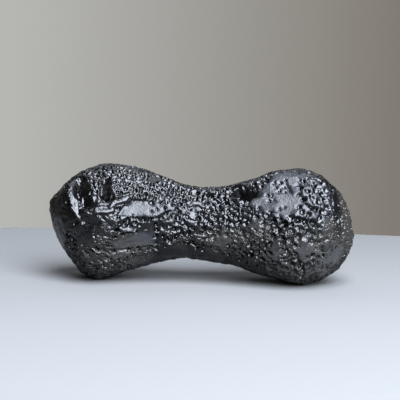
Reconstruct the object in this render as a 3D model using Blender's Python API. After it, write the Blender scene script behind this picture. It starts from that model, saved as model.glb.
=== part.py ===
# Dumbbell tektite: one solid piece of natural black glass, lying on its two lobes.
# X runs along the stone, -Y is its front, +Z is up, and it rests on the plane Z = 0.
# Sizes are in millimetres and angles in degrees. MM turns millimetres into metres.

import math

import bmesh
import bpy
import numpy as np

MM = 0.001

# Each section: place along the stone, height of its underside, height of its top.
# The lobes' undersides dip below zero, where they are ground off into two small feet.
SECTIONS = (
    (-39.0, 18.2, 18.2),
    (-37.6, 12.1, 21.5),
    (-34.1, 5.8, 25.2),
    (-30.0, 1.2, 27.9),
    (-26.6, -0.3, 29.2),
    (-22.9, 0.6, 29.7),
    (-17.5, 2.5, 29.1),
    (-11.6, 4.3, 27.2),
    (-5.2, 5.8, 24.9),
    (0.7, 5.2, 24.1),
    (7.6, 4.3, 24.8),
    (14.0, 2.4, 27.1),
    (20.0, 0.8, 29.1),
    (25.5, -0.3, 29.5),
    (30.1, 1.0, 28.1),
    (33.8, 3.0, 25.2),
    (36.6, 5.9, 21.4),
    (38.4, 9.2, 16.6),
    (39.0, 11.8, 11.8),
)

# Place along the stone, depth over height of the section, sideways shift of its middle.
DEPTHS = (
    (-39.0, 0.88, 0.3),
    (-26.0, 0.90, 0.6),
    (0.0, 0.93, 0.0),
    (25.0, 0.96, -0.7),
    (39.0, 0.92, -0.3),
)

# Slow swells of the whole surface: wavelength, height and seed of the scatter.
SWELLS = ((19.0, 0.18, 3), (7.5, 0.12, 4))

# A place on the skin is (along, around). Along is X, and around is 0 on the front,
# 90 on top, 180 on the back and -90 underneath. Turn is the angle of a feature's long
# axis, anticlockwise from +X for someone who looks at it from outside.

# Flats: along, around, reach, depth below the skin, lean to +X, lean up around it.
FLATS = {
    "bright_brow": (23.5, 74, 6, 0.45, 0, 0),
    "low_right_face": (33.6, -38, 6, 0.8, 4, -4),
    "low_left_face": (-33.0, -52, 6, 0.6, 0, -6),
    "left_patch": (-16.5, -20, 5, 0.5, 0, 0),
    "back_neck_face": (-6.5, 166, 5, 0.5, 0, 0),
    "back_left_face": (-30.5, 202, 7, 0.9, 0, 0),
    "back_right_face": (31.0, 190, 7, 0.9, 0, 0),
}

# Facets, flats with straight edges: how far they face to +X and upward, depth at their
# middle, and their corners (along, around) clockwise for someone who looks at them from
# outside. One of negative depth stands out of the skin.
FACETS = {
    "bright_face": (-9, 35.5, 1.0, ((11.6, 32), (18.2, 70), (25.0, 66), (25.6, 30), (20.8, 13))),
    "bright_band": (0, 32, 0.2, ((-21.0, 10), (-18.2, 28), (-12.0, 29.5), (-7.6, 21), (-12.0, 9))),
    "tongue": (9, 30, -0.5, ((-26.6, 15), (-26.0, 24), (-21.6, 25), (-21.6, 14))),
    "long_streak": (5, 32, -0.5, ((-22.8, 18.5), (-22.4, 25), (-17.8, 33), (-17.0, 27.5))),
    "neck_ridge": (3, 38, -0.7, ((6.6, 66), (7.0, 71), (12.2, 69), (12.8, 63))),
}
FACET_EDGE = 0.5
FACET_MOST_RAISED = 0.6
FACET_MOST_CUT = 3.0

# Hollows: along, around, half length, half width, turn, depth.
HOLLOWS = {
    "under_tongue": (-27.2, 6, 3.4, 1.7, -12, 0.9),
    "band_groove": (-18.9, 33, 2.8, 0.6, 24, 0.6),
    "face_hook": (21.4, 49, 2.1, 0.6, -62, 0.55),
    "brow_channel": (25.0, 55, 2.2, 0.6, 22, 0.6),
    "neck_scar": (-1.2, 27, 2.3, 1.9, 0, 0.4),
    "lower_scoop": (23.2, -32, 2.2, 1.6, -20, 0.4),
    "back_bowl": (25.5, 160, 5.0, 3.0, 35, 1.6),
    "back_groove": (-21.0, 186, 6.5, 1.5, -28, 1.2),
    "back_dimple": (-29.0, 140, 2.8, 2.3, 0, 1.0),
    "back_neck_scoop": (2.5, 205, 4.2, 2.2, 10, 0.8),
    "top_groove": (20.0, 112, 4.4, 1.3, 64, 0.8),
    "under_scoop": (-5.0, -98, 5.5, 2.8, 8, 0.7),
}

# Dishes, which are hollows with steep walls: along, around, half length, half width,
# turn, depth, and how much deeper the floor gets toward +X and up around. One of negative
# depth is a ledge that stands out.
DISHES = {
    "end_ridge": (-32.4, 37, 5.6, 1.05, 106, -0.35, 0.88, 0.25),
    "bowl": (-30.2, 44, 5.4, 2.5, 106, 1.4, -0.15, 0.0),
    "hook": (-23.9, 41, 3.6, 1.5, 76, 1.2, -0.7, 0.0),
    "hook_foot": (-23.0, 28, 1.8, 0.9, 4, 0.9, -0.4, 0.3),
    "valley": (11.6, 55, 4.6, 2.1, -20, 1.4, -0.4, 0.1),
    "neck_top_notch": (2.9, 60, 2.0, 0.9, 0, 0.9, -0.3, 0.0),
    "neck_ledge": (-2.0, -43, 8.6, 2.9, 2, 0.55, 0.0, 0.35),
    "left_ledge": (-14.5, -52, 5.6, 2.4, 10, 0.45, 0.0, 0.35),
    "dark_hole": (15.6, -18, 2.1, 1.4, 20, 0.7, -0.3, 0.2),
    "small_hole": (-31.4, 4, 1.0, 0.8, 20, 0.8, 0.0, 0.0),
    "left_scoop": (-25.6, 0, 1.2, 2.4, 10, 0.5, -0.4, 0.0),
}
# Their rims wander: wavelength, distance, and a seed for each direction.
RIM_WAVELENGTH = 4.0
RIM_WANDER = 0.22
RIM_SEEDS = (31, 32, 33)

# Ridges: along, around, half length, half width, turn, height.
RIDGES = {
    "cross_ridge": (-28.4, 17, 2.4, 0.8, 8, 0.5),
    "hook_rim": (-25.6, 42, 2.8, 0.5, 80, 0.4),
    "low_streak": (-24.8, -18, 1.9, 0.5, -42, 0.4),
    "low_streak_by_end": (-28.0, -21, 2.0, 0.5, -52, 0.4),
    "back_ridge": (19.0, 176, 5.0, 1.1, 60, 0.6),
    "back_left_ridge": (-17.5, 168, 4.4, 0.9, -34, 0.5),
}

# Patches that kept their smooth skin: along, around, half length, half width, turn.
SMOOTH_PATCHES = {
    "bright_brow": (23.5, 70, 5.6, 2.8, 0),
    "left_patch": (-14.6, -18, 3.8, 2.9, -4),
    "left_patch_beside": (-19.2, -21, 3.8, 3.0, 0),
    "left_ledge": (-14.5, -52, 5.6, 2.4, 10),
    "neck_patch": (5.0, -15, 2.8, 3.2, 0),
    "neck_underside": (-2.0, -50, 8.6, 3.4, 2),
    "right_patch": (18.2, -16, 2.4, 4.8, 0),
    "right_low_patch": (25.5, -15, 2.6, 2.4, 0),
    "low_right_face": (32.4, -37, 7.6, 3.8, 30),
    "end_face": (-37.0, -12, 5.5, 11.0, 0),
    "bowl": (-30.2, 44, 5.6, 2.9, 106),
    "hook": (-23.9, 41, 3.6, 1.5, 76),
    "valley": (11.6, 55, 4.6, 2.1, -20),
    "back_neck_face": (-6.5, 166, 4.6, 2.6, 0),
    "back_left_face": (-30.5, 202, 4.6, 5.0, 0),
    "back_right_face": (31.0, 190, 4.0, 5.0, 0),
}

# Pits: how many, smallest and largest radius, depth for each millimetre of radius, and
# the height below which the feet are left bare.
PIT_COUNT = 400
PIT_RADII = (0.75, 1.2)
PIT_DEPTH = 0.6
PIT_SPACING = 0.85
PIT_SEED = 41
BARE_FOOT_HEIGHT = 1.6

# Faces: rings and points of the fine skin that is modelled, and triangles kept of it.
RINGS_ALONG = 300
POINTS_AROUND = 216
TRIANGLES = 9700

BLACK_GLASS = (0.012, 0.012, 0.013, 1.0)


def clear_scene():
    for obj in list(bpy.data.objects):
        bpy.data.objects.remove(obj)


def smooth_through(at, places, values):
    """Cubic curve through the values, whose slope at each comes from its neighbours."""
    steps = np.diff(places)
    slopes = np.diff(values) / steps
    inner = (slopes[:-1] * steps[1:] + slopes[1:] * steps[:-1]) / (steps[:-1] + steps[1:])
    tangents = np.concatenate([slopes[:1], inner, slopes[-1:]])
    i = np.clip(np.searchsorted(places, at) - 1, 0, len(steps) - 1)
    t = (at - places[i]) / steps[i]
    from_left = (1 + 2 * t) * (1 - t) ** 2 * values[i] + t * (1 - t) ** 2 * steps[i] * tangents[i]
    to_right = t * t * (3 - 2 * t) * values[i + 1] + t * t * (t - 1) * steps[i] * tangents[i + 1]
    return from_left + to_right


def section_at(along):
    """Middle height, half height, half depth and sideways shift of the section there."""
    x, low, high = np.array(SECTIONS).T
    middle = smooth_through(along, x, (low + high) / 2)
    half = np.sqrt(np.maximum(smooth_through(along, x, ((high - low) / 2) ** 2), 0))
    place, ratio, shift = np.array(DEPTHS).T
    depth = half * smooth_through(along, place, ratio)
    return middle, half, depth, smooth_through(along, place, shift)


def skin(along, around):
    """Points of the plain dumbbell, before anything is pressed into it."""
    middle, half, depth, shift = section_at(along)
    angle = np.radians(around)
    y = shift - depth * np.cos(angle)
    z = middle + half * np.sin(angle)
    return np.stack([along, y, z], axis=-1)


def tangent_frame(along, around):
    """A point of the skin, with unit vectors along it, up around it and out of it."""
    step = 0.05
    here, ahead, beside = skin(
        np.array([along, along + step, along]), np.array([around, around, around + 1.0])
    )
    u = (ahead - here) / np.linalg.norm(ahead - here)
    n = np.cross(u, beside - here)
    n /= np.linalg.norm(n)
    return here, u, np.cross(n, u), n


def even_stations(count):
    """Places along the stone that are evenly spaced over its skin, tips included."""
    tip = SECTIONS[0][0]
    fine = tip * np.cos(np.linspace(0.0, math.pi, 4001))
    half = section_at(fine)[1]
    run = np.concatenate([[0.0], np.cumsum(np.hypot(np.diff(fine), np.diff(half)))])
    return np.interp(np.linspace(0.0, run[-1], count), run, fine)


def swell(points, wavelength, seed):
    """Smooth lumps of about unit height: plane waves in scattered directions, summed."""
    rng = np.random.default_rng(seed)
    count = 9
    total = np.zeros(len(points))
    for _ in range(count):
        direction = rng.normal(size=3)
        length = wavelength * rng.uniform(0.7, 1.4)
        direction *= 2 * math.pi / (length * np.linalg.norm(direction))
        total += np.sin(points @ direction + rng.uniform(0, 2 * math.pi))
    return total / math.sqrt(count)


def oval(points, along, around, half_length, half_width, turn):
    """1 at the middle of a turned oval on the skin, falling to 0 at its rim."""
    here, u, v, n = tangent_frame(along, around)
    offset = points - here
    cosine = math.cos(math.radians(turn))
    sine = math.sin(math.radians(turn))
    lengthwise = offset @ (cosine * u + sine * v) / half_length
    crosswise = offset @ (cosine * v - sine * u) / half_width
    near = offset @ n > -max(half_length, half_width)
    return np.clip(1 - lengthwise**2 - crosswise**2, 0, 1) * near


def plane_flats(points):
    """What stands above a flat's plane is brought down to it. Past its reach it fades out."""
    softness = 0.12
    for along, around, reach, depth, lean_along, lean_up in FLATS.values():
        here, u, v, n = tangent_frame(along, around)
        plane = n + math.tan(math.radians(lean_along)) * u + math.tan(math.radians(lean_up)) * v
        plane /= np.linalg.norm(plane)
        above = (points - here) @ plane + depth
        away = np.linalg.norm(points - here, axis=1) / reach
        cut = softness * np.logaddexp(0, above / softness) * np.clip(3 - 2 * away, 0, 1)
        points = points - plane * cut[:, None]
    return points


def inside_facet(points, corners, edge):
    """0 outside the facet's edges and on the stone's far side, rising to 1 within them."""
    place = np.array(corners)
    here, u, v, n = tangent_frame(*place.mean(axis=0))
    offset = points - here
    across = np.stack([offset @ u, offset @ v], axis=-1)
    outline = skin(*place.T) - here
    outline = np.stack([outline @ u, outline @ v], axis=-1)
    inside = np.full(len(points), np.inf)
    for corner, after in zip(outline, np.roll(outline, -1, axis=0)):
        side = (after - corner) / np.linalg.norm(after - corner)
        inside = np.minimum(inside, (across - corner) @ np.array([side[1], -side[0]]))
    neck_half = section_at(np.zeros(1))[1][0]
    step = np.clip(inside / edge + 0.5, 0, 1) * (offset @ n > -neck_half)
    return step * step * (3 - 2 * step)


def cut_facets(points, plain, normals):
    """Within a facet's edges the surface moves along its normal to the facet's plane."""
    for side, up, depth, corners in FACETS.values():
        a, e = math.radians(side), math.radians(up)
        plane = np.array((math.sin(a) * math.cos(e), -math.cos(a) * math.cos(e), math.sin(e)))
        here, _, _, n = tangent_frame(*np.array(corners).mean(axis=0))
        steepest = 0.3
        run = (here - depth * n - points) @ plane / np.maximum(normals @ plane, steepest)
        run = np.clip(run, -FACET_MOST_CUT, FACET_MOST_RAISED)
        points = points + normals * (run * inside_facet(plain, corners, FACET_EDGE))[:, None]
    return points


def press_hollows(points, normals):
    for *place, depth in HOLLOWS.values():
        points = points - normals * (depth * oval(points, *place))[:, None]
    return points


def press_dishes(points, plain, normals):
    """Steep at the rim, with a floor that may slope."""
    wander = np.stack([swell(plain, RIM_WAVELENGTH, seed) for seed in RIM_SEEDS], axis=-1)
    for *place, depth, toward_x, toward_top in DISHES.values():
        here, u, v, _ = tangent_frame(*place[:2])
        floor = depth + (points - here) @ (toward_x * u + toward_top * v)
        if depth > 0:
            floor = np.maximum(floor, 0)
        step = np.clip(3 * oval(points + RIM_WANDER * wander, *place), 0, 1)
        points = points - normals * (floor * step * step * (3 - 2 * step))[:, None]
    return points


def raise_ridges(points, normals):
    for *place, height in RIDGES.values():
        points = points + normals * (height * oval(points, *place))[:, None]
    return points


def pit_places(rng):
    """Scattered centres and radii of pits, clear of each other and of what stays smooth."""
    stations = even_stations(RINGS_ALONG + 1)
    widest = section_at(stations)[1].max()
    centres = np.empty((0, 3))
    radii = np.empty(0)
    while len(radii) < PIT_COUNT:
        along = rng.choice(stations)
        around = rng.uniform(-180, 180)
        radius = rng.uniform(*PIT_RADII)
        if rng.uniform() * widest > section_at(np.array([along]))[1][0]:
            continue
        centre = skin(np.array([along]), np.array([around]))
        if centre[0, 2] < BARE_FOOT_HEIGHT:
            continue
        if any(oval(centre, *patch)[0] > 0 for patch in SMOOTH_PATCHES.values()):
            continue
        if any(inside_facet(centre, corners, radius)[0] > 0 for *_, corners in FACETS.values()):
            continue
        gaps = np.linalg.norm(centres - centre, axis=1) / (radii + radius)
        if len(gaps) and gaps.min() < PIT_SPACING:
            continue
        centres = np.concatenate([centres, centre])
        radii = np.append(radii, radius)
    return centres, radii


def sink_pits(points, plain, normals):
    """Round pits with crisp rims. Where two meet, the deeper one is kept."""
    sink = np.zeros(len(points))
    for centre, radius in zip(*pit_places(np.random.default_rng(PIT_SEED))):
        away = ((plain - centre) ** 2).sum(axis=1) / radius**2
        sink = np.maximum(sink, PIT_DEPTH * radius * (1 - away))
    return points - normals * sink[:, None]


def sphere_mesh():
    """A UV sphere. Its poles, on Z, are later turned to the two ends of the stone."""
    bm = bmesh.new()
    bmesh.ops.create_uvsphere(bm, u_segments=POINTS_AROUND, v_segments=RINGS_ALONG, radius=1.0)
    mesh = bpy.data.meshes.new("tektite")
    bm.to_mesh(mesh)
    bm.free()
    return mesh


def vertex_values(mesh, name):
    values = np.empty(len(mesh.vertices) * 3, np.float32)
    mesh.vertices.foreach_get(name, values)
    return values.reshape(-1, 3).astype(float)


def move_vertices(mesh, points):
    mesh.vertices.foreach_set("co", (points * MM).ravel())
    mesh.update()


def shape_stone(mesh):
    """Pull the sphere into the dumbbell, work its surface, and centre it over the origin."""
    ball = vertex_values(mesh, "co")
    ring = np.arccos(np.clip(-ball[:, 2], -1, 1)) / math.pi * RINGS_ALONG
    along = np.interp(ring, np.arange(RINGS_ALONG + 1), even_stations(RINGS_ALONG + 1))
    around = np.degrees(np.arctan2(ball[:, 1], -ball[:, 0]))
    plain = skin(along, around)
    move_vertices(mesh, plain)
    normals = vertex_values(mesh, "normal")
    points = plain
    for wavelength, height, seed in SWELLS:
        points = points + normals * (height * swell(plain, wavelength, seed))[:, None]
    points = plane_flats(points)
    points = cut_facets(points, plain, normals)
    points = press_hollows(points, normals)
    points = press_dishes(points, plain, normals)
    points = raise_ridges(points, normals)
    points = sink_pits(points, plain, normals)
    points[:, :2] -= (points[:, :2].min(axis=0) + points[:, :2].max(axis=0)) / 2
    move_vertices(mesh, points)


def thin_out(obj):
    """Keep faces where the shape needs them, and give the object the thinner mesh."""
    thin = obj.modifiers.new("fewer faces", "DECIMATE")
    thin.ratio = TRIANGLES / (2 * len(obj.data.vertices))
    graph = bpy.context.evaluated_depsgraph_get()
    thinned = bpy.data.meshes.new_from_object(obj.evaluated_get(graph))
    obj.modifiers.clear()
    obj.data = thinned


def grind_feet(obj):
    """Cut the stone off at the ground and close the cuts, which are its two flat feet."""
    bm = bmesh.new()
    bm.from_mesh(obj.data)
    whole = bm.verts[:] + bm.edges[:] + bm.faces[:]
    bmesh.ops.bisect_plane(
        bm, geom=whole, dist=1e-7, plane_co=(0, 0, 0), plane_no=(0, 0, -1), clear_outer=True
    )
    rims = [edge for edge in bm.edges if edge.is_boundary]
    bmesh.ops.holes_fill(bm, edges=rims, sides=0)
    bm.to_mesh(obj.data)
    bm.free()


def black_glass():
    material = bpy.data.materials.new("black_glass")
    material.use_nodes = True
    shader = material.node_tree.nodes["Principled BSDF"]
    shader.inputs["Base Color"].default_value = BLACK_GLASS
    shader.inputs["Roughness"].default_value = 0.3
    shader.inputs["Metallic"].default_value = 0.0
    return material


def main():
    clear_scene()
    stone = bpy.data.objects.new("tektite", sphere_mesh())
    collection = bpy.data.collections.new("tektite")
    bpy.context.scene.collection.children.link(collection)
    collection.objects.link(stone)
    shape_stone(stone.data)
    thin_out(stone)
    grind_feet(stone)
    stone.data.shade_smooth()
    stone.data.set_sharp_from_angle(angle=math.radians(40))
    stone.data.materials.append(black_glass())


main()
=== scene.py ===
import math

import bpy
import numpy as np
from mathutils import Matrix, Vector


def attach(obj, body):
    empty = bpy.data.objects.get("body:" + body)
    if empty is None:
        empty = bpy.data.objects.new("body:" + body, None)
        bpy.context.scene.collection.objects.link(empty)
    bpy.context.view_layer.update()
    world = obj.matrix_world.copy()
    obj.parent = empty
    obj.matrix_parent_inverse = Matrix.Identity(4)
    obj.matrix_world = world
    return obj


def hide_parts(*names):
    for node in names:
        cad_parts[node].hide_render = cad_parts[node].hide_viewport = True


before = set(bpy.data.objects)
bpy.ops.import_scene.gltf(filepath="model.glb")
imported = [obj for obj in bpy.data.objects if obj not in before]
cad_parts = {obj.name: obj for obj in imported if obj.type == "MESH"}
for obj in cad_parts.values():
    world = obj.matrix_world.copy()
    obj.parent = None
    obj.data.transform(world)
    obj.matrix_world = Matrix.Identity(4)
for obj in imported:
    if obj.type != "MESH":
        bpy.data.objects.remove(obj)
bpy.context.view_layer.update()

# A dumbbell tektite of pitted black glass, on a pale round table top in soft light.
# Lengths in the dictionaries are millimetres and angles are degrees unless noted.

mm = 0.001


# The plain dumbbell: its sections, how deep they are, and its slow swells.
form = {
    "sections": [  # along, height of the underside, height of the top
        (-39.0, 18.2, 18.2), (-37.6, 12.1, 21.5), (-34.1, 5.8, 25.2), (-30.0, 1.2, 27.9),
        (-26.6, -0.3, 29.2), (-22.9, 0.6, 29.7), (-17.5, 2.5, 29.1), (-11.6, 4.3, 27.2),
        (-5.2, 5.8, 24.9), (0.7, 5.2, 24.1), (7.6, 4.3, 24.8), (14.0, 2.4, 27.1),
        (20.0, 0.8, 29.1), (25.5, -0.3, 29.5), (30.1, 1.0, 28.1), (33.8, 3.0, 25.2),
        (36.6, 5.9, 21.4), (38.4, 9.2, 16.6), (39.0, 11.8, 11.8),
    ],
    "depths": [  # along, depth over height, shift to the back
        (-39.0, 0.88, 0.3), (-26.0, 0.90, 0.6), (0.0, 0.93, 0.0), (25.0, 0.96, -0.7), (39.0, 0.92, -0.3),
    ],
    "swells": [(19.0, 0.18, 3), (7.5, 0.12, 4), (3.4, 0.045, 5)],  # wavelength, height, seed
    "rings": 760,  # the grid that is worked: rings along the stone, and points around each
    "around": 640,
    "triangles": 198000,  # how many are kept of it
}

# Relief, placed by (along, around): around is 0 in front, 90 on top, 180 behind, -90 below.
# Turn is the angle of the long axis, anticlockwise from +X as seen from outside.
relief = {
    "flats": {  # along, around, reach, depth, lean to +X, lean up around
        "brightBrow": (23.5, 74, 6, 0.45, 0, 0),
        "lowRightFace": (33.6, -38, 6, 0.8, 4, -4),
        "lowLeftFace": (-33.0, -52, 6, 0.6, 0, -6),
        "leftPatch": (-16.5, -20, 5, 0.5, 0, 0),
        "backNeckFace": (-6.5, 166, 5, 0.5, 0, 0),
        "backLeftFace": (-30.5, 202, 7, 0.9, 0, 0),
        "backRightFace": (31.0, 190, 7, 0.9, 0, 0),
    },
    "facets": {  # facing to +X and up, depth at its middle, edge, how much less polished it is and how much painted bluish grey sheen it gets; corners (along, around)
        "brightFace": (
            -11, 36.5, 1.0, 0.35, 0.3,
            ((11.6, 32), (18.4, 70), (24.2, 65), (25.6, 30), (20.8, 13)),
        ),
        "brightBand": (
            0, 32, 0.2, 0.35, 0.3,
            ((-21.0, 10), (-18.2, 28), (-12.0, 29.5), (-7.6, 21), (-12.0, 9)),
        ),
        "betweenHollows": (-34, 12, 0.35, 0.4, 0, ((-30.4, 21), (-30.0, 37), (-26.8, 33), (-26.4, 24))),
        "tongue": (9, 30, -0.55, 0.25, 0.1, ((-26.8, 14), (-26.0, 25), (-21.8, 26), (-21.6, 14))),
        "longStreak": (5, 32, -0.45, 0.2, 0.1, ((-22.8, 18), (-22.4, 25), (-18.4, 32), (-17.4, 26.5))),
        "darkStar": (-20, -12, 0.3, 0.5, 0, ((-29.5, 5), (-29.0, 17), (-25.4, 13), (-25.4, 4))),
        "lowStreak": (8, 26, -0.1, 0.2, 0.2, ((-19.6, -6.5), (-19.4, -2), (-16.0, -4), (-16.4, -9))),
    },
    "hollows": {  # along, around, half length, half width, turn, depth
        "underTongue": (-27.2, 7, 3.4, 1.7, -12, 0.45),
        "bandGroove": (-18.9, 33, 2.8, 0.6, 24, 0.6),
        "underStreak": (-19.6, 22.5, 2.8, 0.4, 12, 0.4),
        "faceHook": (21.5, 50, 2.1, 0.4, -62, 0.6),
        "browChannel": (25.0, 56, 2.2, 0.4, 22, 0.45),
        "neckScar": (-1.2, 27, 2.3, 1.9, 0, 0.25),
        "tongueGroove": (-24.4, 21.5, 2.3, 0.25, -4, 0.3),
        "tongueGrooveLow": (-24.0, 17.5, 2.3, 0.25, -9, 0.3),
        "underPatch": (-20.4, -28, 3.6, 0.6, -12, 0.4),
        "lowerScoop": (23.2, -32, 2.2, 1.6, -20, 0.4),
        "backBowl": (25.5, 160, 5.0, 3.0, 35, 1.6),
        "backGroove": (-21.0, 186, 6.5, 1.5, -28, 1.2),
        "backDimple": (-29.0, 140, 2.8, 2.3, 0, 1.0),
        "backNeckScoop": (2.5, 205, 4.2, 2.2, 10, 0.8),
        "topGroove": (20.0, 112, 4.4, 1.3, 64, 0.8),
        "underScoop": (-5.0, -98, 5.5, 2.8, 8, 0.7),
    },
    "dishes": {  # with steep walls: along, around, half length, half width, turn,
        # depth, and how much deeper the floor gets each way, to +X and up around;
        # one of negative depth stands out of the surface instead
        "endRidge": (-32.0, 36, 5.8, 1.05, 106, -0.35, 0.88, 0.25),
        "bowl": (-30.0, 44, 5.4, 2.3, 106, 0.9, -0.2, 0),
        "hook": (-23.9, 41, 3.6, 1.5, 76, 1.2, -0.7, 0),
        "hookFoot": (-23.0, 28, 1.8, 0.9, 4, 0.9, -0.4, 0.3),
        "valley": (11.4, 52.5, 4.6, 2.1, -20, 1.4, -0.5, -0.25),
        "neckTopNotch": (2.9, 60, 2.0, 0.9, 0, 0.9, -0.3, 0),
        "neckLedge": (-2.0, -43, 8.6, 2.9, 2, 0.55, 0, 0.35),
        "leftLedge": (-14.5, -52, 5.6, 2.4, 10, 0.45, 0, 0.35),
        "darkHole": (15.6, -18, 2.1, 1.4, 20, 0.7, -0.3, 0.2),
        "smallHole": (-31.4, 4, 1.0, 0.8, 20, 0.5, -0.2, 0.3),
    },
    "ridges": {  # along, around, half length, half width, turn, height
        "crossRidge": (-28.4, 17, 2.4, 0.8, 8, 0.5),
        "hookRim": (-25.6, 42, 2.8, 0.45, 80, 0.4),
        "valleyStreak": (8.0, 55, 1.4, 0.35, -32, 0.4),
        "valleyStreakBeside": (10.6, 50, 1.1, 0.35, -38, 0.4),
        "neckStreak": (9.6, 72, 2.7, 0.6, -11, 0.65),
        "lowerLeftFleck": (-22.9, -38, 1.3, 0.4, -12, 0.5),
        "lowerLeftFleckBeside": (-20.2, -43, 0.8, 0.35, 8, 0.4),
        "lowerLeftFleckByFoot": (-26.0, -42, 0.7, 0.35, -20, 0.4),
        "innerFleck": (12.8, 3, 1.3, 0.3, -38, 0.4),
        "innerFleckBeside": (13.9, -3, 0.9, 0.3, -30, 0.4),
        "lowRightFleck": (23.2, -27.5, 1.4, 0.3, 14, 0.5),
        "lowRightFleckBeside": (25.2, -31.5, 1.0, 0.3, -50, 0.45),
        "lowRightFleckBelow": (20.8, -33, 0.8, 0.3, -20, 0.4),
        "lowRightFleckUnder": (24.6, -38, 0.7, 0.3, 10, 0.4),
        "lowRightFleckByEnd": (28.6, -31, 0.9, 0.3, 40, 0.4),
        "lowStreak": (-25.4, -23, 2.4, 0.4, -38, 0.6),
        "lowStreakByEnd": (-29.1, -25, 2.3, 0.35, -60, 0.5),
        "backRidge": (19.0, 176, 5.0, 1.1, 60, 0.6),
        "backLeftRidge": (-17.5, 168, 4.4, 0.9, -34, 0.5),
    },
    "clearPatches": {  # free of pits: along, around, half length, half width, turn
        "endRidge": (-32.0, 36, 5.6, 1.2, 106),
        "hook": (-23.9, 41, 4.0, 1.8, 76),
        "hookFoot": (-23.0, 28, 2.2, 1.2, 4),
        "bandGroove": (-18.9, 33, 2.8, 0.6, 24),
        "valley": (11.8, 51.5, 4.4, 2.0, -20),
        "bowl": (-29.9, 44, 5.4, 2.6, 106),
        "neckStreak": (9.6, 71, 2.9, 1.2, -11),
        "neckUnderside": (-5.6, -48, 6.2, 3.0, 2),
        "neckUndersideBeside": (4.6, -48, 2.6, 2.8, 0),
        "leftUnderside": (-14.5, -52, 5.6, 2.4, 10),
        "lowRightFace": (35.0, -36, 2.8, 4.6, 0),
        "darkHole": (15.6, -18, 2.1, 1.4, 20),
    },
    "satinPatchesWithPaintedSheen": {  # the same, then how strong: less polished, and a bluish grey painted sheen in the colour
        "brightBrow": (23.5, 72, 5.2, 2.6, 0, 0.4),
        "leftPatch": (-14.6, -18, 3.8, 2.9, -4, 0.75),
        "leftPatchBeside": (-19.2, -21, 3.8, 3.0, 0, 0.4),
        "bandSheen": (-8.2, 24, 2.2, 1.6, 0, 0.2),
        "neckSheen": (-1.4, 40, 2.2, 1.5, 0, 0.2),
        "neckPatch": (5.4, -17, 2.0, 2.4, 0, 0.3),
        "rightPatch": (18.6, -17, 1.5, 4.0, 0, 0.25),
        "rightLowPatch": (25.5, -17, 2.2, 1.6, 20, 0.15),
        "backNeckFace": (-6.5, 166, 4.0, 2.0, 12, 0.35),
        "backLeftFace": (-30.0, 204, 3.6, 4.4, 20, 0.35),
        "backRightFace": (31.0, 188, 4.0, 2.6, -35, 0.35),
    },
    "pittedPatchesWithPaintedSheen": {  # the same, less polished and with a bluish grey painted sheen in the colour, but with pits
        "lowRightFace": (33.4, -36, 5.0, 6.5, 0, 0.85),
        "rightLower": (26.0, -34, 11.0, 8.0, 0, 0.75),
        "rightCrown": (28.0, 36, 6.5, 8.0, 0, 0.5),
        "rightMiddle": (27.0, 4, 6.0, 5.0, 0, 0.3),
        "neckRight": (11.5, 16, 7.0, 4.5, 0, 0.3),
        "neckLeft": (-8.0, 25, 6.0, 5.0, 0, 0.35),
        "neckFront": (2.0, 30, 8.0, 4.0, 0, 0.15),
        "leftLower": (-19.0, -38, 7.0, 5.0, 0, 0.35),
    },
    "streaked": {  # pits are grooves here: along, around, half length, half width, turn, squeeze
        "belowTongue": (-24.5, -6, 5.0, 5.0, -38, 2.6),
        "lowerLeft": (-27.0, -24, 4.5, 4.0, -48, 2.0),
        "bandLower": (-17.0, -5, 5.0, 1.6, -4, 1.8),
    },
    "weathered": {  # along, around, half length, half width, turn
        "rightEnd": (38.0, 14, 7.2, 16.5, 0),
        "lowerRight": (24.5, -36, 13.0, 11.0, 0),
        "rightInner": (14.5, -8, 4.5, 6.0, 0),
        "rightOuter": (32.0, -3, 3.8, 6.0, 0),
        "neckRight": (6.0, -18, 9.0, 5.0, 0),
        "lowerLeft": (-21.0, -38, 12.0, 8.0, 0),
        "backCrown": (27.0, 130, 9.0, 9.0, 0),
        "backNeck": (-6.0, 215, 14.0, 9.0, 0),
    },
}

# How the relief is cut into the dumbbell.
cutting = {
    "flatEdge": 0.12,  # how softly a flat's rim is rounded
    "facetReach": 6.0,  # a facet marks nothing that is further below it
    "facetShare": 0.92,  # how much of the way the surface moves to the facet's plane
    "facetLimits": (-3.0, 1.3),  # the most that it goes down and up
    "facetSteepest": 0.3,  # least cosine between the surface and a facet that is reckoned with
    "facetRipple": (5.0, 0.06, 51),  # wavelength, height, seed
    "dishSteepness": 6.0,
    "dishGlossAndPaintedShade": 0.3,  # the glass in a dish is as glossy, and has as much painted shade, as in a pit of this depth
    "waverLattice": (1.6, (31, 32, 33)),  # cell and seeds of the noise that bends outlines
    "facetWaver": 0.15,  # how far it bends those of the facets, of the dishes and of the patches
    "dishWaver": 0.33,
    "patchWaver": 1.1,
    "patchSteepness": 1.3,
    "patchEndsAt": 0.25,  # how deep in a pit nothing is left of a patch
    "rough": [(1.2, 0.12, 20), (0.7, 0.09, 21), (0.4, 0.05, 22)],  # cell, height, seed
    "weatheredRough": 1.2,  # how much rougher the weathered zones are
    "weatheredSteepness": 2.0,
    "patchSmooth": 0.9,  # how much smoother the patches and facets are
}

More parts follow.
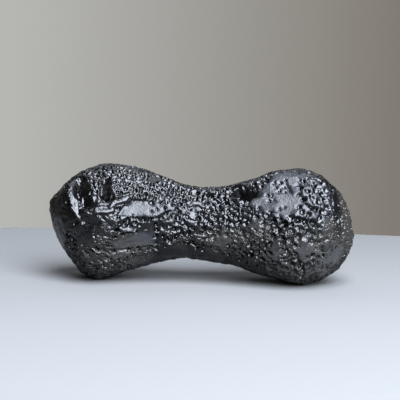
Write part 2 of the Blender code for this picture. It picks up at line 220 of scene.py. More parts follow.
# Pits. A zone gives radii and depth over radius to the pits in it; elsewhere they follow usual.
pits = {
    "usual": (0.42, 0.85, 0.75, 0.9),  # smallest and largest radius, depth over radius, share kept
    "zones": {  # along, around, half length, half width, turn, then as in usual
        "leftCrown": (-18, 64, 10, 11, 0, 0.34, 0.76, 0.90, 1.0),
        "neckFront": (1, 24, 15, 10, 0, 0.38, 0.92, 0.80, 1.0),
        "neckRight": (13, 0, 7, 7, 0, 0.34, 0.85, 0.85, 1.0),
        "rightCrown": (27, 38, 6, 9, 0, 0.60, 1.20, 0.80, 0.8),
        "rightMiddle": (24, 6, 10, 6, 0, 0.50, 1.20, 0.90, 0.85),
        "rightLower": (22, -38, 14, 10, 0, 0.32, 0.95, 1.5, 0.9),
        "rightFoot": (28.5, -41, 7, 6, 0, 0.32, 0.80, 1.0, 0.8),
        "neckLower": (-2, -32, 13, 6, 0, 0.32, 0.75, 1.3, 1.0),
        "leftLower": (-22, -36, 13, 9, 0, 0.32, 0.80, 1.8, 1.0),
        "rightEnd": (36, 24, 7.5, 17, 0, 0.34, 0.72, 0.60, 0.6),
        "bandLower": (-15.5, 3, 6, 3, 0, 0.34, 0.85, 0.85, 1.0),
        "leftEnd": (-37, -12, 5.5, 11, 0, 0.25, 0.45, 0.60, 0.08),
        "leftTopEdge": (-31, 80, 7, 6, 0, 0.36, 0.66, 0.85, 0.9),
        "leftStar": (-27, 0, 7, 9, 0, 0.26, 0.50, 0.45, 0.5),
        "besideRidge": (-34.2, 36, 2.4, 6, 108, 0.28, 0.50, 0.90, 1.0),
        "besideValley": (16, 68, 4, 4, 0, 0.55, 0.95, 0.90, 1.0),
    },
    "singles": {  # along, around, radius, depth
        "faceUpper": (16.3, 43, 0.6, 0.65),
        "faceUpperBeside": (17.3, 41, 0.45, 0.5),
        "faceLower": (16.6, 35, 0.6, 0.6),
        "faceLowerBeside": (17.7, 36, 0.4, 0.45),
        "faceCorner": (14.3, 27, 0.6, 0.6),
        "faceTopLeft": (18.1, 58, 0.6, 0.75),
        "faceTopInner": (18.4, 52, 0.5, 0.6),
        "faceTopRight": (19.6, 57, 0.6, 0.7),
        "faceTopLow": (19.3, 47, 0.6, 0.7),
        "faceTopLowBeside": (20.3, 52, 0.5, 0.6),
        "faceTopOuter": (20.9, 59, 0.5, 0.6),
        "faceMiddle": (20.6, 45, 0.45, 0.5),
        "faceRight": (24.0, 42, 0.7, 0.6),
        "faceEdgeLow": (19.0, 24, 0.5, 0.4),
        "faceEdgeInner": (20.3, 27, 0.4, 0.35),
        "faceEdgeMiddle": (17.0, 21, 0.7, 0.55),
        "faceSideTop": (25.2, 58, 0.9, 0.75),
        "faceSideUpper": (24.8, 49, 0.7, 0.6),
        "faceSideMiddle": (26.2, 45, 1.0, 0.8),
        "faceSideLower": (25.4, 36, 0.9, 0.7),
        "faceSideLow": (24.2, 27, 0.8, 0.65),
        "browLeft": (22.3, 73, 0.55, 0.4),
        "browMiddle": (24.6, 76, 0.7, 0.45),
        "browRight": (27.0, 70, 0.6, 0.45),
        "bandEnd": (-12.4, 27, 0.8, 0.55),
        "bandFar": (-9.0, 22.5, 0.9, 0.6),
        "bandMiddle": (-11.3, 19, 0.5, 0.4),
        "bandMiddleBeside": (-12.6, 15.5, 0.45, 0.4),
        "bandUpper": (-14.7, 26.5, 0.35, 0.3),
        "bandOuter": (-10.3, 24.5, 0.45, 0.4),
        "bandLower": (-14.4, 5.5, 0.8, 0.6),
        "starUpper": (-28.2, 12, 0.35, 0.3),
        "starMiddle": (-26.9, 8.5, 0.3, 0.25),
        "starLower": (-28.4, 7, 0.3, 0.25),
        "neckTop": (-1.6, 60, 1.2, 0.7),
        "innerEdge": (13.2, 2, 0.7, 0.6),
        "innerEdgeLow": (13.9, -5, 0.6, 0.55),
        "outerEdge": (31.6, 3, 0.8, 0.6),
        "outerEdgeLow": (31.2, -5, 0.65, 0.55),
        "outerEdgeBeside": (33.0, -1, 0.5, 0.45),
        "darkLeft": (12.2, -17, 1.0, 0.9),
        "darkMiddle": (13.8, -20, 0.9, 0.9),
        "darkRight": (15.6, -15, 1.1, 1.0),
    },
    "rings": {  # along, around, radius, half width, depth
        "neckRing": (-1.6, 23, 2.0, 0.35, 0.25),
        "lowRight": (23.7, -30, 1.3, 0.40, 0.8),
        "lowRightBeside": (26.4, -34, 1.0, 0.35, 0.7),
    },
    "tries": 70000,
    "seed": 7,
    "spacing": 0.74,  # least distance between two middles, over the sum of their radii
    "smallBias": 2.2,  # the higher, the more pits are near their smallest radius
    "depthSpread": (0.7, 1.25),
    "squeeze": 2.2,  # at most; a pit is sqrt(1 + squeeze^2) times as long as it is wide
    "streakSpread": (0.5, 1.0),  # how much of a streaked zone's squeeze its pits have
    "roundBias": 1.5,  # the higher, the more pits are nearly round
    "calmSize": 2.6,  # calm areas, where a noise is above a limit and few pits are kept
    "calmSeed": 41,
    "calmAbove": 0.3,
    "calmShare": 0.12,
    "facetMargin": 1.0,  # pits thin out over this much more of a facet's edge
    "facetPlainness": 1.2,
    "plainFrom": 0.5,  # how far inside a plain patch there are no pits at all
    "bareFeet": 0.7,  # no pits below this height
    "wobble": 0.24,  # how far the outlines of pits are bent
    "wobbleLattices": [(0.9, (11, 12, 13), 1.0), (0.42, (14, 15, 16), 0.5)],  # cell, seeds, share
}


def smoothThrough(at, places, values):
    # cubic Hermite curve through the values, its slopes the weighted mean of the steps beside
    steps = np.diff(places)
    slopes = np.diff(values) / steps
    inner = (slopes[:-1] * steps[1:] + slopes[1:] * steps[:-1]) / (steps[:-1] + steps[1:])
    tangents = np.concatenate([slopes[:1], inner, slopes[-1:]])
    i = np.clip(np.searchsorted(places, at) - 1, 0, len(steps) - 1)
    t = (at - places[i]) / steps[i]
    fromLeft = (1 + 2 * t) * (1 - t) ** 2 * values[i] + t * (1 - t) ** 2 * steps[i] * tangents[i]
    toRight = t * t * (3 - 2 * t) * values[i + 1] + t * t * (t - 1) * steps[i] * tangents[i + 1]
    return fromLeft + toRight


def sectionAt(along):
    # middle height, half height, half depth and shift; the half height's square is what is smooth
    x, low, high = np.array(form["sections"]).T
    middle = smoothThrough(along, x, (low + high) / 2)
    half = np.sqrt(np.maximum(smoothThrough(along, x, ((high - low) / 2) ** 2), 0))
    place, ratio, shift = np.array(form["depths"]).T
    return middle, half, half * smoothThrough(along, place, ratio), smoothThrough(along, place, shift)


def skin(along, around):
    # an ellipse at each place along the stone: y from the cosine of around, z from its sine
    middle, half, depth, shift = sectionAt(along)
    angle = np.radians(around)
    return np.stack([along, shift - depth * np.cos(angle), middle + half * np.sin(angle)], axis=-1)


def evenStations(count):
    # places along that are equally far apart over the skin's outline, measured on a fine one
    fine = form["sections"][0][0] * np.cos(np.linspace(0, math.pi, 4001))
    half = sectionAt(fine)[1]
    run = np.concatenate([[0], np.cumsum(np.hypot(np.diff(fine), np.diff(half)))])
    return np.interp(np.linspace(0, run[-1], count), run, fine)


def tangentFrame(along, around):
    # a point of the skin, then unit vectors along it, up around it and out of it
    step, turn = 0.05, 1.0
    here, ahead, beside = skin(along + np.array([0, step, 0]), around + np.array([0, 0, turn]))
    u = (ahead - here) / np.linalg.norm(ahead - here)
    n = np.cross(u, beside - here)
    n /= np.linalg.norm(n)
    return here, u, np.cross(n, u), n


def oval(points, along, around, halfLength, halfWidth, turn):
    # 1 - (lengthwise / halfLength)^2 - (crosswise / halfWidth)^2, and 0 outside that oval
    here, u, v, n = tangentFrame(along, around)
    offset = points - here
    cosine, sine = math.cos(math.radians(turn)), math.sin(math.radians(turn))
    lengthwise = offset @ (cosine * u + sine * v) / halfLength
    crosswise = offset @ (cosine * v - sine * u) / halfWidth
    near = offset @ n > -max(halfLength, halfWidth)
    return np.clip(1 - lengthwise**2 - crosswise**2, 0, 1) * near


def swell(points, wavelength, seed):
    # plane waves in scattered directions, 0.7 to 1.4 wavelengths long, summed to about unit height
    rng = np.random.default_rng(seed)
    count = 9
    total = np.zeros(points.shape[:-1])
    for _ in range(count):
        direction = rng.normal(size=3)
        length = wavelength * rng.uniform(0.7, 1.4)
        direction *= 2 * math.pi / (length * np.linalg.norm(direction))
        total += np.sin(points @ direction + rng.uniform(0, 2 * math.pi))
    return total / math.sqrt(count)


def smoothStep(t):
    # 3t^2 - 2t^3
    return t * t * (3 - 2 * t)


def latticeNoise(points, cell, seed):
    # random numbers on a cubic lattice, blended between its corners by smoothStep
    low = points.reshape(-1, 3).min(axis=0) - cell
    place = (points - low) / cell
    corner = np.floor(place).astype(int)
    blend = smoothStep(place - corner)
    values = np.random.default_rng(seed).uniform(-1, 1, corner.reshape(-1, 3).max(axis=0) + 2)
    total = 0
    for step in np.ndindex(2, 2, 2):
        weight = np.prod(np.where(step, blend, 1 - blend), axis=-1)
        i, j, k = np.moveaxis(corner + step, -1, 0)
        total = total + weight * values[i, j, k]
    return total


def noiseVectors(points, cell, seeds):
    # a lattice noise for each of x, y and z
    return np.stack([latticeNoise(points, cell, seed) for seed in seeds], axis=-1)


def facing(side, up):
    # a unit vector: side 0 is towards the viewer and positive to the right, up is above level
    a, e = math.radians(side), math.radians(up)
    return np.array((math.sin(a) * math.cos(e), -math.cos(a) * math.cos(e), math.sin(e)))


def outward(points):
    # cross product of the steps along and around; the two end rows are the poles
    alongStep = np.gradient(points, axis=0)
    aroundStep = np.roll(points, -1, axis=1) - np.roll(points, 1, axis=1)
    normal = np.cross(alongStep, aroundStep)
    normal[0] = (-1, 0, 0)
    normal[-1] = (1, 0, 0)
    return normal / np.linalg.norm(normal, axis=-1, keepdims=True)


def planeFlats(points):
    # whatever stands above a flat's plane comes down by softplus of its height: in full out to
    # the flat's reach, and fading to nothing half as far again
    softness = cutting["flatEdge"]
    for along, around, reach, depth, leanAlong, leanUp in relief["flats"].values():
        here, u, v, n = tangentFrame(along, around)
        plane = n + math.tan(math.radians(leanAlong)) * u + math.tan(math.radians(leanUp)) * v
        plane /= np.linalg.norm(plane)
        above = (points - here) @ plane + depth
        away = np.linalg.norm(points - here, axis=-1) / reach
        cut = softness * np.logaddexp(0, above / softness) * np.clip(3 - 2 * away, 0, 1)
        points = points - plane * cut[..., None]
    return points


def insideFacet(points, edge, corners):
    # rises from 0 to 1 over a strip of width edge along the polygon's sides
    place = np.array(corners)
    here, u, v, n = tangentFrame(*place.mean(axis=0))
    offset = points - here
    across = np.stack([offset @ u, offset @ v], axis=-1)
    rim = skin(*place.T) - here
    flat = np.stack([rim @ u, rim @ v], axis=-1)
    inside = np.full(points.shape[:-1], np.inf)
    for corner, after in zip(flat, np.roll(flat, -1, axis=0)):
        side = (after - corner) / np.linalg.norm(after - corner)
        inside = np.minimum(inside, (across - corner) @ np.array([side[1], -side[0]]))
    return smoothStep(np.clip(inside / edge + 0.5, 0, 1) * (offset @ n > -cutting["facetReach"]))


def cutFacets(points, plain, normal):
    # inside a facet's polygon the surface moves along its normal most of the way to the facet's
    # plane, and gets a slight ripple
    wavelength, height, seed = cutting["facetRipple"]
    ripple = height * swell(plain, wavelength, seed)
    patch = np.zeros(plain.shape[:2])
    clear = np.zeros(plain.shape[:2])
    for side, up, depth, edge, satinAndPaintedSheen, corners in relief["facets"].values():
        inside = insideFacet(plain, edge, corners)
        plane = facing(side, up)
        here, _, _, n = tangentFrame(*np.array(corners).mean(axis=0))
        slant = np.maximum(normal @ plane, cutting["facetSteepest"])
        run = (here - depth * n - points) @ plane / slant
        run = cutting["facetShare"] * np.clip(run, *cutting["facetLimits"]) + ripple
        points = points + normal * (run * inside)[..., None]
        patch = np.maximum(patch, satinAndPaintedSheen * inside)
        clear = np.maximum(clear, inside)
    return points, patch, clear


def placeRelief(points, normal, waver):
    # hollows and ridges go down or up by depth * (1 - distance^2); a dish goes down a steep wall
    # to its floor, which slopes as a plane does
    # the dishes' floors get gloss and painted shade as deep pits do
    glossAndPaintedShade = np.zeros(points.shape[:2])
    for *place, depth in relief["hollows"].values():
        points = points - normal * (depth * oval(points, *place))[..., None]
    for *place, depth, towardsX, towardsTop in relief["dishes"].values():
        here, u, v, _ = tangentFrame(*place[:2])
        floor = depth + (points - here) @ (towardsX * u + towardsTop * v)
        inside = oval(points + cutting["dishWaver"] * waver, *place)
        step = smoothStep(np.clip(cutting["dishSteepness"] * inside, 0, 1))
        if depth > 0:
            floor = np.maximum(floor, 0)
            glossAndPaintedShade = np.maximum(glossAndPaintedShade, cutting["dishGlossAndPaintedShade"] * step)
        points = points - normal * (floor * step)[..., None]
    for *place, height in relief["ridges"].values():
        points = points + normal * (height * oval(points, *place))[..., None]
    return points, glossAndPaintedShade


def insideAny(points, zones):
    # how far inside the nearest of the ovals a point is, 0 outside all of them
    return np.max([oval(points, *zone[:5]) for zone in relief[zones].values()], axis=0)


def tryPits(stations):
    # random centres over the skin: each one's radius, depth, the axis that it is narrow along,
    # and whether its place may have a pit
    rng = np.random.default_rng(pits["seed"])
    tries = pits["tries"]
    along = rng.choice(stations, tries)
    half = sectionAt(along)[1]
    around = rng.uniform(-180, 180, tries)
    centre = skin(along, around)
    smallest, largest, depth, share = (np.full(tries, value) for value in pits["usual"])
    best = np.zeros(tries)
    for zone in pits["zones"].values():
        inside = oval(centre, *zone[:5])
        here = inside > best
        best = np.maximum(best, inside)
        for values, value in zip((smallest, largest, depth, share), zone[5:]):
            values[here] = value
    radius = smallest + (largest - smallest) * rng.uniform(size=tries) ** pits["smallBias"]
    squeeze = rng.uniform(0, 1, tries) ** pits["roundBias"] * pits["squeeze"]
    across = rng.normal(size=(tries, 3))
    across /= np.linalg.norm(across, axis=1, keepdims=True)
    for *place, turn, narrow in relief["streaked"].values():
        flow = oval(centre, *place, 0) > 0
        _, u, v, _ = tangentFrame(*place[:2])
        across[flow] = math.cos(math.radians(turn)) * v - math.sin(math.radians(turn)) * u
        squeeze[flow] = narrow * rng.uniform(*pits["streakSpread"], flow.sum())

    # fewer towards the narrow ends, where the stations crowd, in calm areas and on patches
    keep = rng.uniform(size=tries) * half.max() < half
    calm = latticeNoise(centre[None], pits["calmSize"], pits["calmSeed"])[0] > pits["calmAbove"]
    keep &= rng.uniform(size=tries) < share * np.where(calm, pits["calmShare"], 1)
    plainness = np.maximum(insideAny(centre, "satinPatchesWithPaintedSheen"), insideAny(centre, "clearPatches"))
    for _, _, _, edge, _, corners in relief["facets"].values():
        inside = insideFacet(centre, edge + pits["facetMargin"], corners)
        plainness = np.maximum(plainness, pits["facetPlainness"] * inside)
    keep &= plainness <= rng.uniform(0, pits["plainFrom"], tries)
    keep &= centre[:, 2] > pits["bareFeet"]
    depth *= radius * rng.uniform(*pits["depthSpread"], tries)
    return centre, radius, depth, across * squeeze[:, None], keep


def scatterPits(stations):
    # the pits with a place of their own, then the tried ones, large ones first, which are left
    # out where they would be crowded
    centre, radius, depth, axis, keep = tryPits(stations)
    order = np.argsort(-radius * keep)[: keep.sum()]
    singles = np.array(list(pits["singles"].values())).T
    count = singles.shape[1]
    centres, axes = np.zeros(centre.shape), np.zeros(centre.shape)
    radii, depths = np.zeros(len(centre)), np.zeros(len(centre))
    centres[:count], radii[:count], depths[:count] = skin(*singles[:2]), singles[2], singles[3]
    for i in order:
        gaps = np.linalg.norm(centres[:count] - centre[i], axis=1) / (radii[:count] + radius[i])
        if gaps.min() < pits["spacing"]:
            continue
        centres[count], radii[count], depths[count], axes[count] = centre[i], radius[i], depth[i], axis[i]
        count += 1
    print("pits:", count)
    return centres[:count], radii[:count], depths[:count], axes[:count]


def pitDepths(plain, stations):
    # bowls, depth * (1 - distance^2 / radius^2), and the deepest one wherever they overlap;
    # distance counts for more along a bowl's own axis, which makes it narrower that way
    lattices = pits["wobbleLattices"]
    bend = sum(share * noiseVectors(plain, cell, seeds) for cell, seeds, share in lattices)
    bent = plain + pits["wobble"] * bend
    sink = np.zeros(plain.shape[:2])
    for centre, radius, depth, axis in zip(*scatterPits(stations)):
        reach = radius + 2 * pits["wobble"]
        first, last = np.searchsorted(stations, (centre[0] - reach, centre[0] + reach))
        offset = bent[first:last] - centre
        away = ((offset**2).sum(axis=-1) + (offset @ axis) ** 2) / radius**2
        sink[first:last] = np.maximum(sink[first:last], depth * (1 - away))
    for along, around, radius, halfWidth, depth in pits["rings"].values():
        away = np.linalg.norm(bent - skin(along, around), axis=-1) - radius
        sink = np.maximum(sink, depth * (1 - (away / halfWidth) ** 2))
    return sink


def stoneSurface():
    # the dumbbell with swells, flats, facets, relief, pits and fine roughness, on a grid
    stations = evenStations(form["rings"] + 1)
    around = np.arange(form["around"]) * 360 / form["around"] - 180
    plain = skin(*np.meshgrid(stations, around, indexing="ij"))
    normal = outward(plain)
    points = plain
    for wavelength, height, seed in form["swells"]:
        points = points + normal * (height * swell(plain, wavelength, seed))[..., None]
    points = planeFlats(points)
    waver = noiseVectors(plain, *cutting["waverLattice"])
    points, patch, clear = cutFacets(points, plain + cutting["facetWaver"] * waver, normal)
    points, glossAndPaintedShade = placeRelief(points, normal, waver)
    sink = pitDepths(plain, stations)
    # how strong each less polished patch is; this also sets the painted bluish grey sheen in the colour
    for *place, satinAndPaintedSheen in (relief["satinPatchesWithPaintedSheen"] | relief["pittedPatchesWithPaintedSheen"]).values():
        inside = oval(plain + cutting["patchWaver"] * waver, *place)
        patch = np.maximum(patch, satinAndPaintedSheen * np.clip(cutting["patchSteepness"] * inside, 0, 1))
    weathered = insideAny(plain, "weathered")
    rough = sum(height * latticeNoise(plain, cell, seed) for cell, height, seed in cutting["rough"])
    worn = np.clip(cutting["weatheredSteepness"] * weathered, 0, 1)
    rough *= 1 + cutting["weatheredRough"] * worn
    rough *= 1 - cutting["patchSmooth"] * np.maximum(patch, clear)
    points = points + normal * (rough - sink)[..., None]
    patch *= 1 - np.clip(sink / cutting["patchEndsAt"], 0, 1)

    # the middle of the box at the origin, and nothing under the table's top
    points[..., :2] -= (points[..., :2].min(axis=(0, 1)) + points[..., :2].max(axis=(0, 1))) / 2
    points[..., 2] = np.maximum(points[..., 2], 0)
    return points, np.maximum(sink, glossAndPaintedShade), patch, weathered


def gridMesh(name, points):
    # quads between the rings, and a fan of triangles to one point at each end
    rings, count = points.shape[0] - 2, points.shape[1]
    row = np.arange(count)
    after = np.roll(row, -1)
    start = 1 + count * np.arange(rings - 1)[:, None]
    quads = np.stack([start + row, start + count + row, start + count + after, start + after], axis=-1)
    last = 1 + rings * count
    firstFan = np.stack([np.zeros(count, int), 1 + row, 1 + after], axis=-1)
    lastFan = np.stack([np.full(count, last), last - count + after, last - count + row], axis=-1)
    vertices = np.concatenate([points[:1, 0], points[1:-1].reshape(-1, 3), points[-1:, 0]])
    corners = np.concatenate([quads.ravel(), firstFan.ravel(), lastFan.ravel()])
    sizes = np.repeat([4, 3], [quads.size // 4, 2 * count])
    mesh = bpy.data.meshes.new(name)
    mesh.vertices.add(len(vertices))
    mesh.vertices.foreach_set("co", vertices.ravel())
    mesh.loops.add(len(corners))
    mesh.loops.foreach_set("vertex_index", corners)
    mesh.polygons.add(len(sizes))
    mesh.polygons.foreach_set("loop_start", np.cumsum(sizes) - sizes)
    mesh.update(calc_edges=True)
    mesh.shade_smooth()
    return mesh


def pointValues(mesh, name, grid):
    # the same order as the vertices of gridMesh
    values = np.concatenate([grid[:1, 0], grid[1:-1].ravel(), grid[-1:, 0]]).astype(np.float32)
    mesh.attributes.new(name, "FLOAT", "POINT").data.foreach_set("value", values)


def addPiece(name, mesh, material):
    piece = bpy.data.objects.new(name, mesh)
    bpy.context.scene.collection.objects.link(piece)
    mesh.materials.append(material)
    return piece


def thinOut(piece, triangles):
    # edges collapse where the surface is plainest, so the rims of pits keep their points
    thin = piece.modifiers.new("fewer faces", "DECIMATE")
    thin.ratio = triangles / (2 * len(piece.data.vertices))
    graph = bpy.context.evaluated_depsgraph_get()
    thinned = bpy.data.meshes.new_from_object(piece.evaluated_get(graph))
    piece.modifiers.clear()
    piece.data = thinned


def feed(tree, socket, value):
    # a node's output is linked to the socket, and anything else is set on it
    if isinstance(value, bpy.types.NodeSocket):
        tree.links.new(value, socket)
    else:
        socket.default_value = value


def mapRange(tree, value, low=0, high=1, first=0, last=1):
    # low to high becomes first to last, and it is held at both ends
    node = tree.nodes.new("ShaderNodeMapRange")
    sockets = ("Value", "From Min", "From Max", "To Min", "To Max")
    for name, given in zip(sockets, (value, low, high, first, last)):
        feed(tree, node.inputs[name], given)
    return node.outputs["Result"]


def mixColour(tree, factor, first, second):
    node = tree.nodes.new("ShaderNodeMix")
    node.data_type = "RGBA"
    for name, given in (("Factor", factor), ("A", first), ("B", second)):
        feed(tree, node.inputs[name], given)
    return node.outputs["Result"]


def arithmetic(tree, operation, *values):
    node = tree.nodes.new("ShaderNodeMath")
    node.operation = operation
    for socket, given in zip(node.inputs, values):
        feed(tree, socket, given)
    return node.outputs["Value"]


def attribute(tree, name):
    node = tree.nodes.new("ShaderNodeAttribute")
    node.attribute_name = name
    return node.outputs["Fac"]


def noiseTexture(tree, place, size, detail):
    node = tree.nodes.new("ShaderNodeTexNoise")
    node.inputs["Scale"].default_value = 1 / (size * mm)
    node.inputs["Detail"].default_value = detail
    tree.links.new(place, node.inputs["Vector"])
    return node.outputs["Fac"]


def finePits(tree, place, size, rim):
    # 0 at the middle of each cell, smoothly up to 1 at rim, in cells, from it
    cells = tree.nodes.new("ShaderNodeTexVoronoi")
    cells.inputs["Scale"].default_value = 1 / (size * mm)
    tree.links.new(place, cells.inputs["Vector"])
    bowl = mapRange(tree, cells.outputs["Distance"], high=rim)
    bowl.node.interpolation_type = "SMOOTHSTEP"
    return bowl


def newMaterial(name):
    material = bpy.data.materials.new(name)
    material.use_nodes = True
    tree = material.node_tree
    return material, tree, tree.nodes["Principled BSDF"]


glass = {
    # black is the ground's colour darkened as painted shade in the pits and dishes
    "black": (0.0010, 0.0010, 0.0012, 1),
    "ground": (0.0018, 0.0018, 0.0021, 1),
    # painted sheen: a bluish grey colour on the less polished patches and facets
    "satinAndPaintedSheen": (0.0235, 0.0258, 0.0300, 1),
    "weathered": (0.0500, 0.0465, 0.0400, 1),
    "roughness": {"pitted": 0.13, "ground": 0.26, "satinAndPaintedSheen": 0.58, "weathered": 0.18},
    "glossAndPaintedShadeFullAt": 0.16,  # how deep in a pit, in mm, the glass is as glossy as it gets and its painted shade as dark as it gets
    "ior": 1.40,
    "cloudSize": 3.0,  # the noise that makes the weathering patchy
    "cloudDetail": 5,
    "dullBetween": (0.55, 1.25),  # zone's strength plus noise: where dust starts, and where it is full
    "grainSize": 0.55,
    "grainDetail": 3,
    "grainHeight": 0.08,
    "satinGrain": 0.6,  # how much of that height the less polished patches have
    "etchSize": 0.6,  # the finest pits, which are under a pixel deep
    "etchRim": 0.55,  # their radius, in cells of that size
    "etchDepth": 0.20,
    "etchShare": 0.15,  # how much of that depth is left outside the weathered zones
    "etchFullAt": 0.5,  # how far inside such a zone they have all of it
    "etchGoneAt": 0.4,  # how strong a less polished patch is that has none
    "rimDust": 0.3,  # how much dust is left between the fine pits
}


def blackGlass():
    # glossy in the pits, with painted shade there; less polished on the patches, with a painted bluish
    # grey sheen; and dull with dust where it is weathered
    material, tree, shader = newMaterial("blackGlass")
    place = tree.nodes.new("ShaderNodeTexCoord").outputs["Object"]
    patch, weathered = attribute(tree, "satinAndPaintedSheen"), attribute(tree, "weathered")
    pitGlossAndPaintedShade = mapRange(tree, attribute(tree, "pitDepth"), high=glass["glossAndPaintedShadeFullAt"])
    cloud = noiseTexture(tree, place, glass["cloudSize"], glass["cloudDetail"])
    dull = mapRange(tree, arithmetic(tree, "ADD", weathered, cloud), *glass["dullBetween"])
    bowl = finePits(tree, place, glass["etchSize"], glass["etchRim"])

    # painted shade: the pits and dishes are darker than the ground between them
    colour = mixColour(tree, pitGlossAndPaintedShade, glass["ground"], glass["black"])
    # painted sheen: the patches get a bluish grey colour
    colour = mixColour(tree, patch, colour, glass["satinAndPaintedSheen"])
    dust = arithmetic(tree, "MULTIPLY", dull, mapRange(tree, bowl, first=1, last=glass["rimDust"]))
    colour = mixColour(tree, dust, colour, glass["weathered"])
    feed(tree, shader.inputs["Base Color"], colour)

    values = glass["roughness"]
    roughness = mapRange(tree, pitGlossAndPaintedShade, first=values["ground"], last=values["pitted"])
    roughness = mapRange(tree, patch, first=roughness, last=values["satinAndPaintedSheen"])
    roughness = mapRange(tree, dull, first=roughness, last=values["weathered"])
    feed(tree, shader.inputs["Roughness"], roughness)

    # grain, and fine pits that are deepest in the weathered zones and missing on the patches
    satinHeight = glass["grainHeight"] * glass["satinGrain"]
    grainHeight = mapRange(tree, patch, first=glass["grainHeight"], last=satinHeight)
    grain = noiseTexture(tree, place, glass["grainSize"], glass["grainDetail"])
    height = arithmetic(tree, "MULTIPLY", grain, grainHeight)
    shallow = glass["etchDepth"] * glass["etchShare"]
    etch = mapRange(tree, weathered, high=glass["etchFullAt"], first=shallow, last=glass["etchDepth"])
    etch = mapRange(tree, patch, high=glass["etchGoneAt"], first=etch, last=0)
    bump = tree.nodes.new("ShaderNodeBump")
    bump.inputs["Strength"].default_value = 1
    bump.inputs["Distance"].default_value = mm
    feed(tree, bump.inputs["Height"], arithmetic(tree, "MULTIPLY_ADD", bowl, etch, height))
    feed(tree, shader.inputs["Normal"], bump.outputs["Normal"])

    shader.inputs["IOR"].default_value = glass["ior"]
    return material


def makeStone():
    points, sink, patch, weathered = stoneSurface()
    mesh = gridMesh("dumbbell_tektite", points * mm)
    pointValues(mesh, "pitDepth", sink)
    pointValues(mesh, "satinAndPaintedSheen", patch)
    pointValues(mesh, "weathered", weathered)
    stone = addPiece("dumbbell_tektite", mesh, blackGlass())
    thinOut(stone, form["triangles"])
    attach(stone, "root")
    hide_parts("tektite")
    print("stone:", len(stone.data.vertices), "points,", len(stone.data.polygons), "faces")


makeStone()


# The round table top, whose far edge is close behind the stone as in the photo.
table = {
    "radius": 450,
    "farEdge": 95,
    "thickness": 20,
    "bevel": 3,
    "bevelPoints": 6,
    "sides": 180,
    # painted shade: near, far and front are one grey, darker behind the stone as the light's falloff and
    # darker towards the lamp
    "near": (0.155, 0.155, 0.1525, 1),
    "far": (0.131, 0.131, 0.129, 1),
    "front": (0.080, 0.080, 0.079, 1),  # nearer the lamp, out of the picture
    "paintedFalloff": (-60, 95),  # y where the top is near's colour, and where it is far's
    "paintedFrontShade": (-320, -110),  # y where it is front's, and where that ends
    "roughness": 0.7,
    "ior": 1.05,
}


def paleTable():
    # front, near and far are blended along Y; the greys differ as painted shade, darker behind the stone
    # where the light falls off and darker towards the lamp
    material, tree, shader = newMaterial("paleTable")
    parts = tree.nodes.new("ShaderNodeSeparateXYZ")
    feed(tree, parts.inputs["Vector"], tree.nodes.new("ShaderNodeTexCoord").outputs["Object"])
    paintedFalloff, paintedFrontShade = (
        mapRange(tree, parts.outputs["Y"], start * mm, end * mm)
        for start, end in (table["paintedFalloff"], table["paintedFrontShade"])
    )
    colour = mixColour(tree, paintedFalloff, table["near"], table["far"])
    colour = mixColour(tree, paintedFrontShade, table["front"], colour)
    feed(tree, shader.inputs["Base Color"], colour)
    shader.inputs["Roughness"].default_value = table["roughness"]
    shader.inputs["IOR"].default_value = table["ior"]
    return material


def makeTable():
    # a turned outline: the flat top out to the rounded edge, down, and back in underneath
    radius, thickness, bevel = table["radius"], table["thickness"], table["bevel"]
    turn = np.linspace(0, math.pi / 2, table["bevelPoints"])
    edge = [(radius - bevel + bevel * math.sin(a), -bevel + bevel * math.cos(a)) for a in turn]
    outline = np.array([(0.0, 0.0)] + edge + [(radius, -thickness), (0.0, -thickness)])
    angle = np.linspace(0, 2 * math.pi, table["sides"] + 1)[:-1]
    x = outline[:, :1] * np.cos(angle)
    y = outline[:, :1] * np.sin(angle) + table["farEdge"] - radius
    z = np.repeat(outline[:, 1:], len(angle), axis=1)
    mesh = gridMesh("tableTop", np.stack([x, y, z], axis=-1) * mm)
    addPiece("tableTop", mesh, paleTable())
    print("table:", len(mesh.vertices), "points")


makeTable()


# Distances and lamp sizes are metres, and power is watts.
light = {
    "key": {"elevation": 47, "side": 25, "distance": 0.55, "wide": 0.42, "tall": 0.80, "power": 25.0},
    "top": {"elevation": 118, "side": 0, "distance": 0.9, "wide": 1.15, "tall": 0.65, "power": 4.8},
    "colour": (0.81, 0.88, 1.0),
}

# The room, dark but for one wall. Its limits are the x, y or z of the direction it is seen in.
room = {
    "dark": (0.071, 0.064, 0.053, 1),
    "wallLeft": (0.47, 0.47, 0.45, 1),
    "wallRight": (0.22, 0.20, 0.175, 1),
    "wallFade": (-0.14, 0.14),  # x over which the wall goes from its left colour to its right one
    "wallFrom": (-0.2, 0.3),  # y over which the wall behind the stone starts
    "wallTop": (0.45, 0.22),  # z over which it ends
    "wallEnds": (0.15, 0.6),  # x, either way, over which it darkens
    "endShade": 0.7,
}


def aim(thing, at, position, roll=0.0):
    thing.location = position
    look = (Vector(at) - Vector(position)).to_track_quat("-Z", "Y")
    thing.rotation_euler = (look.to_matrix() @ Matrix.Rotation(roll, 3, "Z")).to_euler()


def makeLamps():
    for name in ("key", "top"):
        values = light[name]
        lamp = bpy.data.lights.new(name + "Light", "AREA")
        lamp.shape = "ELLIPSE"
        lamp.size = values["wide"]
        lamp.size_y = values["tall"]
        lamp.energy = values["power"]
        lamp.color = light["colour"]
        lampObject = bpy.data.objects.new(name + "Light", lamp)
        bpy.context.scene.collection.objects.link(lampObject)
        position = Vector(facing(values["side"], values["elevation"])) * values["distance"]
        aim(lampObject, (0, 0, 0), position)
        print("lamp:", name)


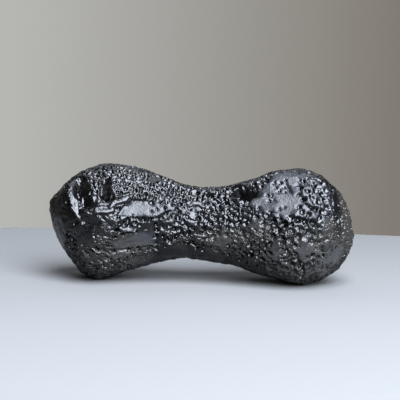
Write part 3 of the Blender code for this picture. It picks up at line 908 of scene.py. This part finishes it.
def makeRoom():
    # dark all round, with one pale wall low behind the stone
    world = bpy.data.worlds.new("room")
    world.use_nodes = True
    bpy.context.scene.world = world
    tree = world.node_tree
    parts = tree.nodes.new("ShaderNodeSeparateXYZ")
    feed(tree, parts.inputs["Vector"], tree.nodes.new("ShaderNodeTexCoord").outputs["Generated"])
    x, y, z = parts.outputs
    wall = mixColour(tree, mapRange(tree, x, *room["wallFade"]), room["wallLeft"], room["wallRight"])
    shade = mapRange(tree, arithmetic(tree, "ABSOLUTE", x), *room["wallEnds"], last=room["endShade"])
    wall = mixColour(tree, shade, wall, room["dark"])
    behind, low = mapRange(tree, y, *room["wallFrom"]), mapRange(tree, z, *room["wallTop"])
    seen = arithmetic(tree, "MULTIPLY", behind, low)
    colour = mixColour(tree, seen, room["dark"], wall)
    feed(tree, tree.nodes["Background"].inputs["Color"], colour)


makeLamps()
makeRoom()


view = {
    "elevation": 8.0,
    "distance": 0.35,  # metres
    "lens": 122.8,
    "sensor": 36,
    "roll": 1.23,
    "imageSize": 400,
    "stoneAt": (202, 224),  # the stone's middle in the photo, in pixels from its top left
    "stoneMiddle": (0, 0, 0.0148),
}


def makeCamera():
    # it faces a point beside the stone's middle, so that the middle comes where the photo has it
    data = bpy.data.cameras.new("photoView")
    data.lens = view["lens"]
    data.sensor_width = view["sensor"]
    camera = bpy.data.objects.new("photoView", data)
    bpy.context.scene.collection.objects.link(camera)
    bpy.context.scene.camera = camera
    middle = Vector(view["stoneMiddle"])
    eye = middle + Vector(facing(0, view["elevation"])) * view["distance"]
    pixel = data.sensor_width / data.lens / view["imageSize"] * view["distance"]
    across = (view["imageSize"] / 2 - view["stoneAt"][0]) * pixel
    up = (view["stoneAt"][1] - view["imageSize"] / 2) * pixel
    tilt = math.radians(view["elevation"])
    target = middle + Vector((across, up * math.sin(tilt), up * math.cos(tilt)))
    aim(camera, target, eye, math.radians(view["roll"]))
    bpy.context.scene.view_settings.view_transform = "Standard"
    print("camera:", data.name)


makeCamera()
